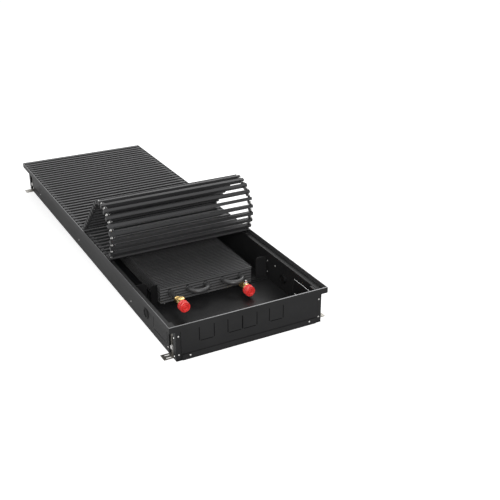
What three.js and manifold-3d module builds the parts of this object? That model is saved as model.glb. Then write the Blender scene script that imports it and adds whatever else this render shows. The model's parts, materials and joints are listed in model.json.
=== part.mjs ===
// Trench convector heater: a low sheet-steel casing let into a floor, a finned
// heat exchanger inside it, and a roll-up grille of bars on top. The grille is
// rolled back from the pipe end, and its folded part leans on the flat part.
//
// Millimetres. X across the trench, Y along it (the pipe end is at -Y), Z up.
// The origin is the middle of the casing's underside.

import * as THREE from "three";
import { mergeVertices } from "three/addons/utils/BufferGeometryUtils.js";
import Module from "manifold-3d";

const wasm = await Module();
wasm.setup();

// ---------------------------------------------------------------- dimensions

// Casing
const LENGTH = 1200; // over the rim
const WIDTH = 400; // over the rim
const HEIGHT = 88; // underside to rim top
const SHEET = 1.5; // casing sheet
const FIT = 0.25; // gap between pieces that touch
const WALL_INSET = 15; // rim face to side wall face
const RIM_BAND = 14; // height of the rim's outer band
const GRILLE_DEPTH = 10.5; // rim top to the ledge that carries the grille
const LIP_HEIGHT = 14.5; // floor turned up over the foot of each end panel
const STRIP_WIDTH = 14; // set-back strip at each edge of an end panel
const RETURN_DEPTH = 16; // end panel's flange along the side

// Knockouts in the end panels and side walls
const KNOCKOUT_SIZE = 36;
const KNOCKOUT_SILL = 39; // height of their lower edge
const KNOCKOUT_SLIT = 2;
const KNOCKOUT_TIE = 3; // metal left at each end of a slit
const KNOCKOUT_CENTRES = [-111, -41.5, -4.5, 63.5];
const SIDE_KNOCKOUT_START = 50; // from the casing's end
const SIDE_KNOCKOUT_LENGTH = 78;
const SIDE_KNOCKOUT_HEIGHT = 38;
const SIDE_KNOCKOUT_SILL = 19;

// Blanking plugs in the side walls
const PLUG_DIAMETER = 24;
const PLUG_FLANGE = 3; // flange beyond the hole, all round
const PLUG_DEPTH = 6; // spigot inside the wall
const PLUG_FROM_END = 172;
const PLUG_HEIGHT = 37;

// Adjustable legs, one in a recess at each corner
const LEG_WIDTH = 22;
const LEG_SHEET = 2;
const LEG_HEIGHT = 56;
const LEG_CLEARANCE = 0.5; // each side of the bracket in its recess
const FOOT_REACH = 7; // foot beyond the rim
const FOOT_SLOT_WIDTH = 5;
const FOOT_SLOT_LENGTH = 14;
const RECESS_DEPTH = 6.5; // side wall face to the recess's back
const RECESS_GAP = 0.5; // bracket to the recess's back
const BOLT_DIAMETER = 6;
const BOLT_HEIGHT = 22;
const LEG_TRAVEL = 25;
const BOLT_CLEARANCE = 0.3;
const BOLT_HEAD = 10; // across flats
const BOLT_HEAD_DEPTH = 3;
const WASHER_DIAMETER = 13;
const WASHER_THICKNESS = 1.2;
const NUT_DIAMETER = 11;
const NUT_DEPTH = 5;

// Heat exchanger
const FIN_START = 244; // from the pipe end
const FIN_END_GAP = 106; // far end to the last fin
const FIN_COUNT = 28;
const FIN_THICKNESS = 0.8;
const FIN_WIDTH = 250;
const FIN_HEIGHT = 44;
const FIN_BOTTOM = 7;
const FIN_CENTRE = 6; // off the trench's middle line
const TUBE_DIAMETER = 12;
const TUBE_PITCH = 48;
const TUBE_CENTRE = 3; // upper row, off the trench's middle line
const TUBE_COUNT = 5; // upper row
const TUBE_HEIGHT = 34; // upper row above the underside
const RETURN_HEIGHT = 20; // the one lower tube, back to the pipe end
const RETURN_OFFSET = 7; // from the last upper tube, towards the middle
const TUBE_PROUD = 2; // tube ends beyond the outer fins
const BEND_LEG_LENGTH = 2; // straight before and after each return bend
const BEND_STEPS = 8;
const BEND_SIDES = 8;
const FIRST_SADDLE_INSET = 20; // from the first fin
const LAST_SADDLE_INSET = 30; // from the last fin
const SADDLE_LENGTH = 30;
const SADDLE_CROWN = 18;
const CHEEK_HEIGHT = 52;
const CHEEK_REACH = 17; // beyond the fins
const CHEEK_ROUND = 8;
const BAFFLE_HEIGHT = 62; // plate between the first saddle and the right wall
const BAFFLE_GAP = 22; // fins to its edge

// Pipe fittings
const FLOW_STUB = 35; // fin pack to the left fitting
const RETURN_STUB = 14; // fin pack to the right fitting
const FITTING_LENGTH = 34;
const BODY_LENGTH = 15; // the wide part at its front
const COLLAR_RADIUS = 7.5;
const BODY_RADIUS = 10.5;
const NIPPLE_RADIUS = 9.5;
const NIPPLE_LENGTH = 10;
const NECK_RADIUS = 6.5;
const NECK_FROM_FRONT = 9.5; // neck axis behind the nipple's root
const NECK_RISE = 10.5; // above the fitting's axis
const CAP_RADIUS = 13.5;
const CAP_LENGTH = 15;
const CAP_WALL = 2.5;
const CAP_CLEARANCE = 0.4;
const CAP_RING = 1; // raised ring on the face
const PLUG_CAP_RADIUS = 9;
const PLUG_CAP_HEIGHT = 4.5;
const VENT_RADIUS = 5;
const VENT_HEIGHT = 9;

// Grille
const BAR_PITCH = 19.7;
const BAR_WIDTH = 8.8;
const BAR_FOOT = 8.2; // width at the underside
const BAR_CHAMFER = 0.6;
const BAR_SIDE_GAP = 1.5; // bar end to the rim
const LINK_WIDTH = 4; // each link plate, across the trench
const LINK_GAP = 0.3; // between the two plates of a knuckle
const LINK_RADIUS = 3.2;
const LINK_INSET = 3; // bar end to the outer link plate
const LINK_ARC_STEPS = 4;
const FOLDED_COUNT = 20;
const REST_GAP = 0.4; // free end to the bars that it leans on
// Turn from each folded bar to the next, in degrees, up to the last crease.
const CURL = [40, 25, 10, 10, 15, 15, 20, 10, 20, 15, 25];

// ------------------------------------------------------------ derived places

const HALF_WIDTH = WIDTH / 2;
const HALF_LENGTH = LENGTH / 2;
const WALL_FACE = HALF_WIDTH - WALL_INSET;
const WALL_INSIDE = WALL_FACE - SHEET;
const LEDGE_TOP = HEIGHT - GRILLE_DEPTH;
const LEDGE_UNDER = LEDGE_TOP - SHEET;
const RIM_FOOT = HEIGHT - RIM_BAND;
const ON_FLOOR = SHEET + FIT; // where pieces stand inside the casing
const UNDER_LEDGE = LEDGE_UNDER - FIT;
const STRIP_START = WALL_FACE - STRIP_WIDTH;
const PANEL_BACK = 2 * SHEET; // end face to the back of the end panel

const RECESS_BACK = WALL_FACE - RECESS_DEPTH; // outer face of the recess's back
const RECESS_NEAR = RETURN_DEPTH + FIT;
const RECESS_FAR = RECESS_NEAR + 2 * SHEET + 2 * LEG_CLEARANCE + LEG_WIDTH;
const LEG_NEAR = RECESS_NEAR + SHEET + LEG_CLEARANCE;
const LEG_FAR = LEG_NEAR + LEG_WIDTH;
const LEG_MIDDLE = (LEG_NEAR + LEG_FAR) / 2;
const LEG_BACK = RECESS_BACK + RECESS_GAP;
const LEG_FACE = LEG_BACK + LEG_SHEET;

const FIN_LEFT = FIN_CENTRE - FIN_WIDTH / 2;
const FIN_RIGHT = FIN_CENTRE + FIN_WIDTH / 2;
const FIN_FIRST_Y = FIN_START - HALF_LENGTH;
const FIN_LAST_Y = HALF_LENGTH - FIN_END_GAP;
const FIN_PACK_LENGTH = FIN_LAST_Y - FIN_FIRST_Y;
const SADDLE_PLACES = [
  FIN_FIRST_Y + FIRST_SADDLE_INSET,
  (FIN_FIRST_Y + FIN_LAST_Y) / 2,
  FIN_LAST_Y - LAST_SADDLE_INSET,
];
const TUBE_RADIUS = TUBE_DIAMETER / 2;
const TUBE_NEAR_Y = FIN_FIRST_Y - TUBE_PROUD;
const TUBE_FAR_Y = FIN_LAST_Y + TUBE_PROUD;

const BAR_TOP = HEIGHT;
const BAR_UNDER = LEDGE_TOP + FIT;
const BAR_DEPTH = BAR_TOP - BAR_UNDER;
const LINK_LEVEL = (BAR_TOP + BAR_UNDER) / 2;
const BAR_HALF_LENGTH = HALF_WIDTH - SHEET - BAR_SIDE_GAP;
const BAR_ROOM = LENGTH - 2 * PANEL_BACK - BAR_WIDTH;
const BAR_COUNT = Math.floor((BAR_ROOM - 2 * BAR_SIDE_GAP) / BAR_PITCH) + 1;
const FIRST_BAR_Y = (-(BAR_COUNT - 1) * BAR_PITCH) / 2;
const FOLD_Y = FIRST_BAR_Y + (FOLDED_COUNT - 0.5) * BAR_PITCH;

// ------------------------------------------------------------------- helpers

/** A box between two corners, given in any order. */
function block([x0, x1], [y0, y1], [z0, z1]) {
  const size = [Math.abs(x1 - x0), Math.abs(y1 - y0), Math.abs(z1 - z0)];
  const box = new THREE.BoxGeometry(...size);
  return box.translate((x0 + x1) / 2, (y0 + y1) / 2, (z0 + z1) / 2);
}

/** Depth along Z becomes depth along X, and a shape's [x, y] becomes [y, z]. */
const ONTO_X = new THREE.Matrix4().set(0, 0, 1, 0, 1, 0, 0, 0, 0, 1, 0, 0, 0, 0, 0, 1);

/**
 * A prism along an axis between two places. The outline holds the other two
 * coordinates, in the order x, y, z, as pairs or as a THREE.Shape.
 */
function prism(axis, outline, start, end) {
  const shape = Array.isArray(outline)
    ? new THREE.Shape(outline.map(([a, b]) => new THREE.Vector2(a, b)))
    : outline;
  const [low, high] = [Math.min(start, end), Math.max(start, end)];
  const options = { depth: high - low, bevelEnabled: false, curveSegments: 4 };
  const geometry = new THREE.ExtrudeGeometry(shape, options);
  if (axis === "x") return geometry.applyMatrix4(ONTO_X).translate(low, 0, 0);
  if (axis === "y") return geometry.rotateX(Math.PI / 2).translate(0, high, 0);
  return geometry.translate(0, 0, low);
}

/** A round rod along an axis, centred on the other two coordinates. */
function rod(axis, radius, [a, b], start, end, sides = 12) {
  const points = Array.from({ length: sides }, (_, i) => {
    const angle = ((i + 0.5) * 2 * Math.PI) / sides;
    return [a + radius * Math.cos(angle), b + radius * Math.sin(angle)];
  });
  return prism(axis, points, start, end);
}

/** A slot with round ends: `length` overall, along its first coordinate or its second. */
function slot([a, b], length, width, alongSecond = false) {
  const reach = (length - width) / 2;
  const shape = new THREE.Shape();
  if (alongSecond) {
    shape.absarc(a, b + reach, width / 2, 0, Math.PI);
    shape.absarc(a, b - reach, width / 2, Math.PI, 2 * Math.PI);
  } else {
    shape.absarc(a + reach, b, width / 2, -Math.PI / 2, Math.PI / 2);
    shape.absarc(a - reach, b, width / 2, Math.PI / 2, 1.5 * Math.PI);
  }
  return shape;
}

/** A turned piece on the Y axis. The profile is [radius, distance] pairs. */
function turned(profile, sides) {
  const points = profile.map(([radius, along]) => new THREE.Vector2(radius, along));
  return new THREE.LatheGeometry(points, sides);
}

function solidOf(geometry) {
  const bare = geometry.clone();
  bare.deleteAttribute("normal");
  bare.deleteAttribute("uv");
  const merged = mergeVertices(bare, 1e-3);
  return new wasm.Manifold(
    new wasm.Mesh({
      numProp: 3,
      vertProperties: new Float32Array(merged.attributes.position.array),
      triVerts: new Uint32Array(merged.index.array),
    }),
  );
}

function geometryOf(solid) {
  const mesh = solid.getMesh();
  const geometry = new THREE.BufferGeometry();
  geometry.setAttribute("position", new THREE.BufferAttribute(mesh.vertProperties, 3));
  geometry.setIndex(new THREE.BufferAttribute(mesh.triVerts, 1));
  geometry.computeVertexNormals();
  return geometry;
}

/** One geometry from pieces joined together, less the pieces cut away. */
function carve(joined, cuts = []) {
  let solid = solidOf(joined[0]);
  for (const piece of joined.slice(1)) solid = solid.add(solidOf(piece));
  for (const piece of cuts) solid = solid.subtract(solidOf(piece));
  return geometryOf(solid);
}

// ----------------------------------------------------------------- materials

const finish = (color, roughness, metalness) =>
  new THREE.MeshStandardMaterial({ color, roughness, metalness });

const POWDER_COAT = finish(0x2b2b2d, 0.55, 0.2);
const BLACK_FINS = finish(0x1d1d1e, 0.6, 0.3);
const ANODISED = finish(0x3a3a3c, 0.4, 0.6);
const ZINC = finish(0x8f8b82, 0.4, 0.9);
const BRASS = finish(0xc9a352, 0.3, 1);
const NICKEL = finish(0xc8c8c4, 0.25, 1);
const RED_PLASTIC = finish(0xd8383a, 0.4, 0);
const BLACK_PLASTIC = finish(0x161617, 0.5, 0);

const convector = new THREE.Group();

function place(name, geometry, material, parent = convector) {
  const mesh = new THREE.Mesh(geometry, material);
  mesh.name = name;
  parent.add(mesh);
  return mesh;
}

const ENDS = { near: -1, far: 1 };
const SIDES = { left: -1, right: 1 };

/** Y of a place so far in from one end of the casing. */
const fromEnd = (end, distance) => end * (HALF_LENGTH - distance);

// -------------------------------------------------------------------- casing

/** Half of the pan's cross-section, from the underside up over the rim. */
const PAN_HALF = [
  [WALL_FACE, 0],
  [WALL_FACE, LEDGE_UNDER],
  [HALF_WIDTH - SHEET, LEDGE_UNDER],
  [HALF_WIDTH - SHEET, RIM_FOOT],
  [HALF_WIDTH, RIM_FOOT],
  [HALF_WIDTH, HEIGHT],
  [HALF_WIDTH - SHEET, HEIGHT],
  [HALF_WIDTH - SHEET, LEDGE_TOP],
  [WALL_INSIDE, LEDGE_TOP],
  [WALL_INSIDE, SHEET],
];

/** The floor's tongue past the end panel and its upturned lip. */
function endLip(end) {
  const across = [-STRIP_START, STRIP_START];
  const root = fromEnd(end, PANEL_BACK);
  return [
    block(across, [fromEnd(end, 0), root], [0, SHEET]),
    block(across, [fromEnd(end, 0), fromEnd(end, SHEET - FIT)], [0, LIP_HEIGHT]),
  ];
}

/** What a corner of the pan gives up: its side wall, and floor for the leg. */
function cornerCuts(side, end) {
  const outside = side * (WALL_FACE + SHEET);
  const wallCut = [fromEnd(end, 0), fromEnd(end, RECESS_FAR + FIT)];
  const legCut = [fromEnd(end, RECESS_NEAR + SHEET), fromEnd(end, RECESS_FAR - SHEET)];
  return [
    block([side * WALL_INSIDE, outside], wallCut, [SHEET, LEDGE_UNDER]),
    block([side * RECESS_BACK, outside], legCut, [-SHEET, 2 * SHEET]),
  ];
}

/** The four slits of a side wall's rectangular knockout. Ties stay at its corners. */
function sideKnockout(side, end) {
  const through = [side * (WALL_INSIDE - SHEET), side * (WALL_FACE + SHEET)];
  const slit = KNOCKOUT_SLIT / 2;
  const far = SIDE_KNOCKOUT_START + SIDE_KNOCKOUT_LENGTH;
  const top = SIDE_KNOCKOUT_SILL + SIDE_KNOCKOUT_HEIGHT;
  const along = [SIDE_KNOCKOUT_START + KNOCKOUT_TIE, far - KNOCKOUT_TIE];
  const upright = [SIDE_KNOCKOUT_SILL + KNOCKOUT_TIE, top - KNOCKOUT_TIE];
  return [
    ...[SIDE_KNOCKOUT_SILL, top].map((z) =>
      block(through, along.map((s) => fromEnd(end, s)), [z - slit, z + slit]),
    ),
    ...[SIDE_KNOCKOUT_START, far].map((s) =>
      block(through, [fromEnd(end, s - slit), fromEnd(end, s + slit)], upright),
    ),
  ];
}

function plugHole(side) {
  const centre = [fromEnd(ENDS.near, PLUG_FROM_END), PLUG_HEIGHT];
  const through = [side * (WALL_INSIDE - SHEET), side * (WALL_FACE + SHEET)];
  return rod("x", PLUG_DIAMETER / 2, centre, ...through, 16);
}

function casingPan() {
  const outline = [...PAN_HALF, ...PAN_HALF.map(([x, z]) => [-x, z]).reverse()];
  const reach = HALF_LENGTH - SHEET - FIT;
  const joined = [prism("y", outline, -reach, reach)];
  const cuts = [];
  for (const end of Object.values(ENDS)) {
    joined.push(...endLip(end));
    for (const side of Object.values(SIDES)) {
      cuts.push(...cornerCuts(side, end), ...sideKnockout(side, end));
    }
  }
  for (const side of Object.values(SIDES)) cuts.push(plugHole(side));
  return carve(joined, cuts);
}

/** Slits down both sides of each square knockout, and one along its sill. */
function knockoutSlits(end) {
  const through = [fromEnd(end, -SHEET), fromEnd(end, PANEL_BACK + SHEET)];
  const half = KNOCKOUT_SIZE / 2;
  const slit = KNOCKOUT_SLIT / 2;
  const sides = [KNOCKOUT_SILL, KNOCKOUT_SILL + KNOCKOUT_SIZE - KNOCKOUT_TIE];
  const sill = [KNOCKOUT_SILL - KNOCKOUT_SLIT, KNOCKOUT_SILL];
  return KNOCKOUT_CENTRES.flatMap((x) => [
    block([x - half - slit, x - half + slit], through, sides),
    block([x + half - slit, x + half + slit], through, sides),
    block([x - half + KNOCKOUT_TIE, x + half - KNOCKOUT_TIE], through, sill),
  ]);
}

/** Folded end panel: middle plate, set-back strips, side flanges, rim band. */
function endPanel(end) {
  const front = SHEET;
  const back = PANEL_BACK;
  const half = [
    [STRIP_START + SHEET, front],
    [STRIP_START + SHEET, back],
    [WALL_FACE, back],
    [WALL_FACE, RETURN_DEPTH],
    [WALL_INSIDE, RETURN_DEPTH],
    [WALL_INSIDE, back + SHEET],
    [STRIP_START, back + SHEET],
    [STRIP_START, back],
  ];
  const ring = [...half, ...half.map(([x, s]) => [-x, s]).reverse()];
  const plan = ring.map(([x, s]) => [x, fromEnd(end, s)]);
  const inside = WALL_INSIDE - FIT;
  return carve(
    [
      prism("z", plan, ON_FLOOR, UNDER_LEDGE),
      block([-inside, inside], [fromEnd(end, front), fromEnd(end, back)], [RIM_FOOT, HEIGHT]),
      block([-HALF_WIDTH, HALF_WIDTH], [fromEnd(end, 0), fromEnd(end, front)], [RIM_FOOT, HEIGHT]),
    ],
    knockoutSlits(end),
  );
}

function blankingPlug(side) {
  const spigot = PLUG_DIAMETER / 2 - FIT;
  const flange = PLUG_DIAMETER / 2 + PLUG_FLANGE;
  const profile = [
    [0, -SHEET - PLUG_DEPTH],
    [spigot, -SHEET - PLUG_DEPTH],
    [spigot, FIT],
    [flange, FIT],
    [flange, FIT + SHEET / 2],
    [spigot, FIT + 1.5 * SHEET],
    [spigot - SHEET, FIT + 1.5 * SHEET],
    [spigot - 2 * SHEET, FIT + SHEET / 2],
    [0, FIT + SHEET / 2],
  ];
  const plug = turned(profile, 16).rotateZ((-side * Math.PI) / 2);
  return plug.translate(side * WALL_FACE, fromEnd(ENDS.near, PLUG_FROM_END), PLUG_HEIGHT);
}

// ---------------------------------------------------------------------- legs

/** The sheet channel behind a leg, with the clinch nut for its bolt. */
function legRecess(side, end) {
  const boltAt = [fromEnd(end, LEG_MIDDLE), BOLT_HEIGHT];
  const back = RECESS_BACK - SHEET;
  const outline = [
    [back, RECESS_NEAR],
    [WALL_FACE, RECESS_NEAR],
    [WALL_FACE, RECESS_NEAR + SHEET],
    [RECESS_BACK, RECESS_NEAR + SHEET],
    [RECESS_BACK, RECESS_FAR - SHEET],
    [WALL_FACE, RECESS_FAR - SHEET],
    [WALL_FACE, RECESS_FAR],
    [back, RECESS_FAR],
  ];
  const plan = outline.map(([w, s]) => [side * w, fromEnd(end, s)]);
  const hole = BOLT_DIAMETER / 2 + BOLT_CLEARANCE;
  return carve(
    [
      prism("z", plan, ON_FLOOR, UNDER_LEDGE),
      rod("x", NUT_DIAMETER / 2, boltAt, side * (back - NUT_DEPTH), side * RECESS_BACK, 6),
    ],
    [rod("x", hole, boltAt, side * (back - 2 * NUT_DEPTH), side * WALL_FACE)],
  );
}

/** Slotted angle bracket: the bolt is at the slot's foot while the leg is in. */
function legBracket(side, end) {
  const middle = fromEnd(end, LEG_MIDDLE);
  const footEnd = HALF_WIDTH + FOOT_REACH;
  const outline = [
    [LEG_BACK, 0],
    [footEnd, 0],
    [footEnd, LEG_SHEET],
    [LEG_FACE, LEG_SHEET],
    [LEG_FACE, LEG_HEIGHT],
    [LEG_BACK, LEG_HEIGHT],
  ].map(([w, z]) => [side * w, z]);
  const slotWidth = BOLT_DIAMETER + 2 * BOLT_CLEARANCE;
  const slotMiddle = [middle, BOLT_HEIGHT + LEG_TRAVEL / 2];
  const boltSlot = slot(slotMiddle, LEG_TRAVEL + slotWidth, slotWidth, true);
  const footMiddle = (side * (LEG_FACE + footEnd)) / 2;
  const footSlots = [-1, 1].map((k) =>
    slot([footMiddle, middle + (k * LEG_WIDTH) / 4], FOOT_SLOT_LENGTH, FOOT_SLOT_WIDTH),
  );
  return carve(
    [prism("y", outline, fromEnd(end, LEG_NEAR), fromEnd(end, LEG_FAR))],
    [
      prism("x", boltSlot, side * RECESS_BACK, side * (LEG_FACE + LEG_SHEET)),
      ...footSlots.map((shape) => prism("z", shape, -LEG_SHEET, 2 * LEG_SHEET)),
    ],
  );
}

/** Hexagon bolt through the slot into the clinch nut, with its washer. */
function clampBolt(side, end) {
  const at = [fromEnd(end, LEG_MIDDLE), BOLT_HEIGHT];
  const washerFace = LEG_FACE + FIT;
  const headFace = washerFace + WASHER_THICKNESS;
  const headRadius = BOLT_HEAD / Math.sqrt(3);
  const tip = RECESS_BACK - SHEET - NUT_DEPTH - FIT;
  return carve([
    rod("x", BOLT_DIAMETER / 2, at, side * tip, side * headFace),
    rod("x", WASHER_DIAMETER / 2, at, side * washerFace, side * headFace, 16),
    rod("x", headRadius, at, side * headFace, side * (headFace + BOLT_HEAD_DEPTH), 6),
  ]);
}

// ------------------------------------------------------------ heat exchanger

const upperTube = (i) => TUBE_CENTRE + (i - (TUBE_COUNT - 1) / 2) * TUBE_PITCH;
const TUBES = [
  ...Array.from({ length: TUBE_COUNT }, (_, i) => [upperTube(i), TUBE_HEIGHT]),
  [upperTube(TUBE_COUNT - 1) - RETURN_OFFSET, RETURN_HEIGHT],
];

/** Plate fins with the tubes expanded into them, one brazed piece. */
function finPack() {
  const step = (FIN_PACK_LENGTH - FIN_THICKNESS) / (FIN_COUNT - 1);
  const across = [FIN_LEFT, FIN_RIGHT];
  const upright = [FIN_BOTTOM, FIN_BOTTOM + FIN_HEIGHT];
  const fins = Array.from({ length: FIN_COUNT }, (_, i) => {
    const y = FIN_FIRST_Y + i * step;
    return block(across, [y, y + FIN_THICKNESS], upright);
  });
  const collars = TUBES.map((at) =>
    rod("y", TUBE_RADIUS * Math.SQRT2, at, TUBE_NEAR_Y, TUBE_FAR_Y, 4),
  );
  return carve([...collars, ...fins]);
}

/** A hairpin on two tube centres: straight out, half a turn, straight back. */
class Hairpin extends THREE.Curve {
  constructor([x0, z0], [x1, z1], y, outward) {
    super();
    this.start = new THREE.Vector3(x0, y, z0);
    this.across = new THREE.Vector3(x1 - x0, 0, z1 - z0);
    this.outward = outward;
  }

  getPoint(t, target = new THREE.Vector3()) {
    const radius = this.across.length() / 2;
    const total = 2 * BEND_LEG_LENGTH + Math.PI * radius;
    const along = t * total;
    let [share, out] = [0, along];
    if (along > total - BEND_LEG_LENGTH) {
      [share, out] = [1, total - along];
    } else if (along > BEND_LEG_LENGTH) {
      const angle = (along - BEND_LEG_LENGTH) / radius;
      share = (1 - Math.cos(angle)) / 2;
      out = BEND_LEG_LENGTH + radius * Math.sin(angle);
    }
    target.copy(this.start).addScaledVector(this.across, share);
    target.y += this.outward * out;
    return target;
  }
}

function circleShape(radius, sides) {
  const points = Array.from({ length: sides }, (_, i) => {
    const angle = (i * 2 * Math.PI) / sides;
    return new THREE.Vector2(radius * Math.cos(angle), radius * Math.sin(angle));
  });
  return new THREE.Shape(points);
}

function returnBend(from, to, end) {
  const y = end < 0 ? TUBE_NEAR_Y - FIT : TUBE_FAR_Y + FIT;
  const path = new Hairpin(TUBES[from], TUBES[to], y, end);
  const options = { steps: BEND_STEPS, extrudePath: path, bevelEnabled: false };
  return new THREE.ExtrudeGeometry(circleShape(TUBE_RADIUS, BEND_SIDES), options);
}

/**
 * A top-hat rail under the fins, with an upright cheek at each side of them. One
 * with a baffle runs on to the right wall and has a taller plate there instead.
 */
function saddle(y, hasBaffle) {
  const crown = FIN_BOTTOM - FIT;
  const hat = [
    [-SADDLE_LENGTH / 2, ON_FLOOR],
    [-SADDLE_CROWN / 2 + SHEET, ON_FLOOR],
    [-SADDLE_CROWN / 2 + SHEET, crown - SHEET],
    [SADDLE_CROWN / 2 - SHEET, crown - SHEET],
    [SADDLE_CROWN / 2 - SHEET, ON_FLOOR],
    [SADDLE_LENGTH / 2, ON_FLOOR],
    [SADDLE_LENGTH / 2, ON_FLOOR + SHEET],
    [SADDLE_CROWN / 2, ON_FLOOR + SHEET],
    [SADDLE_CROWN / 2, crown],
    [-SADDLE_CROWN / 2, crown],
    [-SADDLE_CROWN / 2, ON_FLOOR + SHEET],
    [-SADDLE_LENGTH / 2, ON_FLOOR + SHEET],
  ].map(([s, z]) => [y + s, z]);
  const cheek = (square, rounded, height) => {
    const corner = rounded + Math.sign(square - rounded) * CHEEK_ROUND;
    const shape = new THREE.Shape();
    shape.moveTo(square, ON_FLOOR);
    shape.lineTo(rounded, ON_FLOOR);
    shape.lineTo(rounded, height - CHEEK_ROUND);
    shape.quadraticCurveTo(rounded, height, corner, height);
    shape.lineTo(square, height);
    return prism("y", shape, y - SHEET / 2, y + SHEET / 2);
  };
  const left = FIN_LEFT - FIT;
  const right = FIN_RIGHT + FIT;
  const wall = WALL_INSIDE - FIT;
  return carve([
    prism("x", hat, left - SHEET, hasBaffle ? wall : right + SHEET),
    cheek(left, left - CHEEK_REACH, CHEEK_HEIGHT),
    hasBaffle
      ? cheek(wall, FIN_RIGHT + BAFFLE_GAP, BAFFLE_HEIGHT)
      : cheek(right, right + CHEEK_REACH, CHEEK_HEIGHT),
  ]);
}

// ------------------------------------------------------------- pipe fittings

/**
 * Both fittings point at the pipe end. Each is described from its front: the
 * root of the threaded nipple that the red cap covers.
 */
const FITTINGS = {
  flow: { at: TUBES[0], stub: FLOW_STUB },
  return: { at: TUBES[TUBE_COUNT], stub: RETURN_STUB },
};
for (const fitting of Object.values(FITTINGS)) {
  fitting.back = TUBE_NEAR_Y - FIT - fitting.stub;
  fitting.front = fitting.back - FIT - FITTING_LENGTH;
}

const stubTube = ({ at, back }) => rod("y", TUBE_RADIUS, at, back, TUBE_NEAR_Y - FIT, 10);

function fittingBody({ at: [x, z], front }) {
  const profile = [
    [0, -NIPPLE_LENGTH],
    [NIPPLE_RADIUS, -NIPPLE_LENGTH],
    [NIPPLE_RADIUS, 0],
    [BODY_RADIUS, 0],
    [BODY_RADIUS, BODY_LENGTH - 1],
    [COLLAR_RADIUS, BODY_LENGTH],
    [COLLAR_RADIUS, FITTING_LENGTH],
    [0, FITTING_LENGTH],
  ];
  return carve([
    turned(profile, 12).translate(x, front, z),
    rod("z", NECK_RADIUS, [x, front + NECK_FROM_FRONT], z, z + NECK_RISE, 10),
  ]);
}

/** Cup-shaped protective cap over the nipple, with a raised ring on its face. */
function protectiveCap({ at: [x, z], front }) {
  const bore = NIPPLE_RADIUS + CAP_CLEARANCE;
  const face = -FIT - CAP_LENGTH;
  const ring = [CAP_RADIUS * 0.75, CAP_RADIUS * 0.5];
  const profile = [
    [0, face],
    [ring[1], face],
    [ring[1] + CAP_RING, face - CAP_RING],
    [ring[0] - CAP_RING, face - CAP_RING],
    [ring[0], face],
    [CAP_RADIUS - CAP_RING, face],
    [CAP_RADIUS, face + CAP_RING],
    [CAP_RADIUS, -FIT],
    [bore, -FIT],
    [bore, face + CAP_WALL],
    [0, face + CAP_WALL],
  ];
  return turned(profile, 16).translate(x, front, z);
}

/** A turned screw head on a fitting's neck. The profile starts at the neck. */
function neckPiece({ at: [x, z], front }, profile, sides) {
  const piece = turned(profile, sides).rotateX(Math.PI / 2);
  return piece.translate(x, front + NECK_FROM_FRONT, z + NECK_RISE + FIT);
}

// -------------------------------------------------------------------- grille

/** A bar's section about the link axis: flat top, tapered to its underside. */
const BAR_SECTION = [
  [-BAR_FOOT / 2, -BAR_DEPTH / 2],
  [BAR_FOOT / 2, -BAR_DEPTH / 2],
  [BAR_WIDTH / 2, BAR_DEPTH / 2 - BAR_CHAMFER],
  [BAR_WIDTH / 2 - BAR_CHAMFER, BAR_DEPTH / 2],
  [-BAR_WIDTH / 2 + BAR_CHAMFER, BAR_DEPTH / 2],
  [-BAR_WIDTH / 2, BAR_DEPTH / 2 - BAR_CHAMFER],
];

/** Link plates at a bar's ends: the outer pair faces -Y, the inner pair +Y. */
const LINK_OUTER = BAR_HALF_LENGTH - LINK_INSET;
const LINK_INNER = LINK_OUTER - LINK_WIDTH - LINK_GAP;

/** A link plate from a bar's middle to the knuckle half a pitch away. */
function linkPlate(side, outerFace, toward) {
  const outline = [[0, -LINK_RADIUS]];
  for (let i = 0; i <= LINK_ARC_STEPS; i += 1) {
    const angle = -Math.PI / 2 + (i * Math.PI) / LINK_ARC_STEPS;
    const reach = BAR_PITCH / 2 + LINK_RADIUS * Math.cos(angle);
    outline.push([toward * reach, LINK_RADIUS * Math.sin(angle)]);
  }
  outline.push([0, LINK_RADIUS]);
  return prism("x", outline, side * outerFace, side * (outerFace - LINK_WIDTH));
}

const linkPlates = (toward, outerFace) =>
  Object.values(SIDES).map((side) => linkPlate(side, outerFace, toward));

const barBlank = () => prism("x", BAR_SECTION, -BAR_HALF_LENGTH, BAR_HALF_LENGTH);

/** One bar of the folded part, about its own middle. The last has no -Y links. */
function foldedBar(isLast) {
  const plates = linkPlates(1, LINK_INNER);
  if (!isLast) plates.push(...linkPlates(-1, LINK_OUTER));
  return carve([barBlank(), ...plates]);
}

/** The flat part: its bars on two link strips, and the links of the first crease. */
function flatGrille() {
  const bars = [];
  for (let i = FOLDED_COUNT; i < BAR_COUNT; i += 1) {
    bars.push(barBlank().translate(0, FIRST_BAR_Y + i * BAR_PITCH, LINK_LEVEL));
  }
  const start = FOLD_Y + BAR_PITCH / 2;
  const end = -FIRST_BAR_Y;
  const level = [LINK_LEVEL - LINK_RADIUS, LINK_LEVEL + LINK_RADIUS];
  const strips = Object.values(SIDES).map((side) =>
    block([side * (LINK_INNER - LINK_WIDTH), side * LINK_OUTER], [start, end], level),
  );
  const crease = linkPlates(-1, LINK_OUTER).map((plate) => plate.translate(0, start, LINK_LEVEL));
  return carve([...bars, ...strips, ...crease]);
}

/**
 * How far the straight end of the fold drops below level, in radians, when its
 * last bar leans on the flat bars from a crease `height` above them.
 */
function leanAngle(barsInIt, height) {
  const reach = (barsInIt - 0.5) * BAR_PITCH + BAR_WIDTH / 2;
  const depth = BAR_DEPTH / 2;
  return Math.asin((height - REST_GAP) / Math.hypot(reach, depth)) - Math.atan2(depth, reach);
}

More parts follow.
